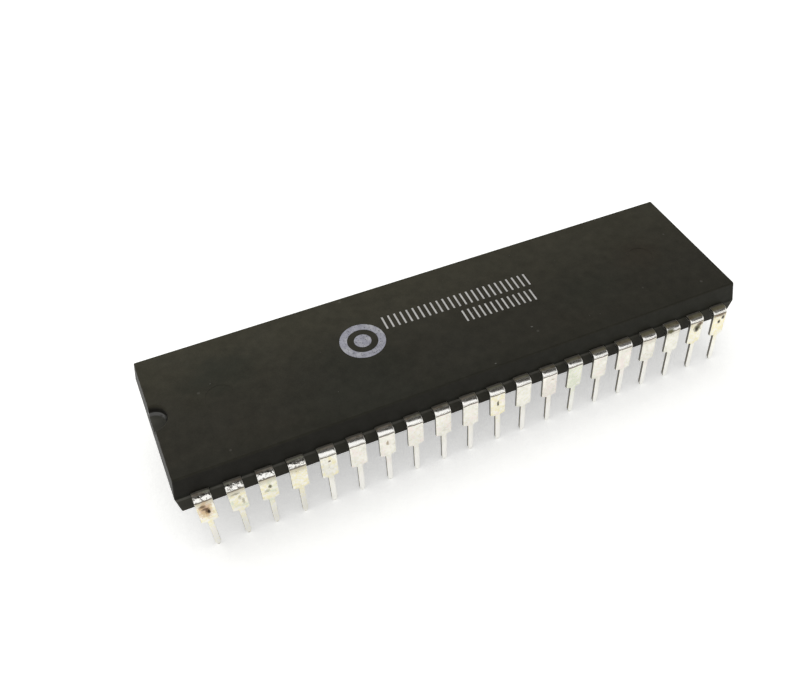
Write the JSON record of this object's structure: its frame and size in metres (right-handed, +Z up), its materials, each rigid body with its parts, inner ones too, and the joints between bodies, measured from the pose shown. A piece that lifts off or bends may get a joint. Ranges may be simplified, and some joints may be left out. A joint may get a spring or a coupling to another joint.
{
  "type": "dip integrated circuit chip",
  "caption": "Long black moulded chip package with a half-round end notch and a row of bent, solder-dipped leads down each side.",
  "frame": {"origin": "centre of the package in plan, in the plane of the lead tips that it stands on", "axes": "+X along the package away from the pin 1 notch, +Y across it away from leads 1 to 20, +Z up through the top face"},
  "size_m": [0.0522, 0.016, 0.0079],
  "materials": {
    "mould_compound": "matt moulded epoxy, faintly speckled",
    "solder_coat": "solder-dipped, bright at the bends, stained in places",
    "frame_copper": "bare stamped copper alloy",
    "die_adhesive": "silver-filled epoxy",
    "silicon": "polished silicon with an oxide sheen",
    "gold_wire": "bright drawn gold wire"
  },
  "bodies": {
    "root": {"body": "mould_compound", "die_paddle": "frame_copper", "die_attach": "die_adhesive", "die": "silicon", "lead_1": "solder_coat", "lead_2": "solder_coat", "lead_3": "solder_coat", "lead_4": "solder_coat", "lead_5": "solder_coat", "lead_6": "solder_coat", "lead_7": "solder_coat", "lead_8": "solder_coat", "lead_9": "solder_coat", "lead_10": "solder_coat", "lead_11": "solder_coat", "lead_12": "solder_coat", "lead_13": "solder_coat", "lead_14": "solder_coat", "lead_15": "solder_coat", "lead_16": "solder_coat", "lead_17": "solder_coat", "lead_18": "solder_coat", "lead_19": "solder_coat", "lead_20": "solder_coat", "lead_21": "solder_coat", "lead_22": "solder_coat", "lead_23": "solder_coat", "lead_24": "solder_coat", "lead_25": "solder_coat", "lead_26": "solder_coat", "lead_27": "solder_coat", "lead_28": "solder_coat", "lead_29": "solder_coat", "lead_30": "solder_coat", "lead_31": "solder_coat", "lead_32": "solder_coat", "lead_33": "solder_coat", "lead_34": "solder_coat", "lead_35": "solder_coat", "lead_36": "solder_coat", "lead_37": "solder_coat", "lead_38": "solder_coat", "lead_39": "solder_coat", "lead_40": "solder_coat", "bond_wires_left": "gold_wire", "bond_wires_near": "gold_wire", "bond_wires_right": "gold_wire", "bond_wires_far": "gold_wire"}
  },
  "joints": []
}
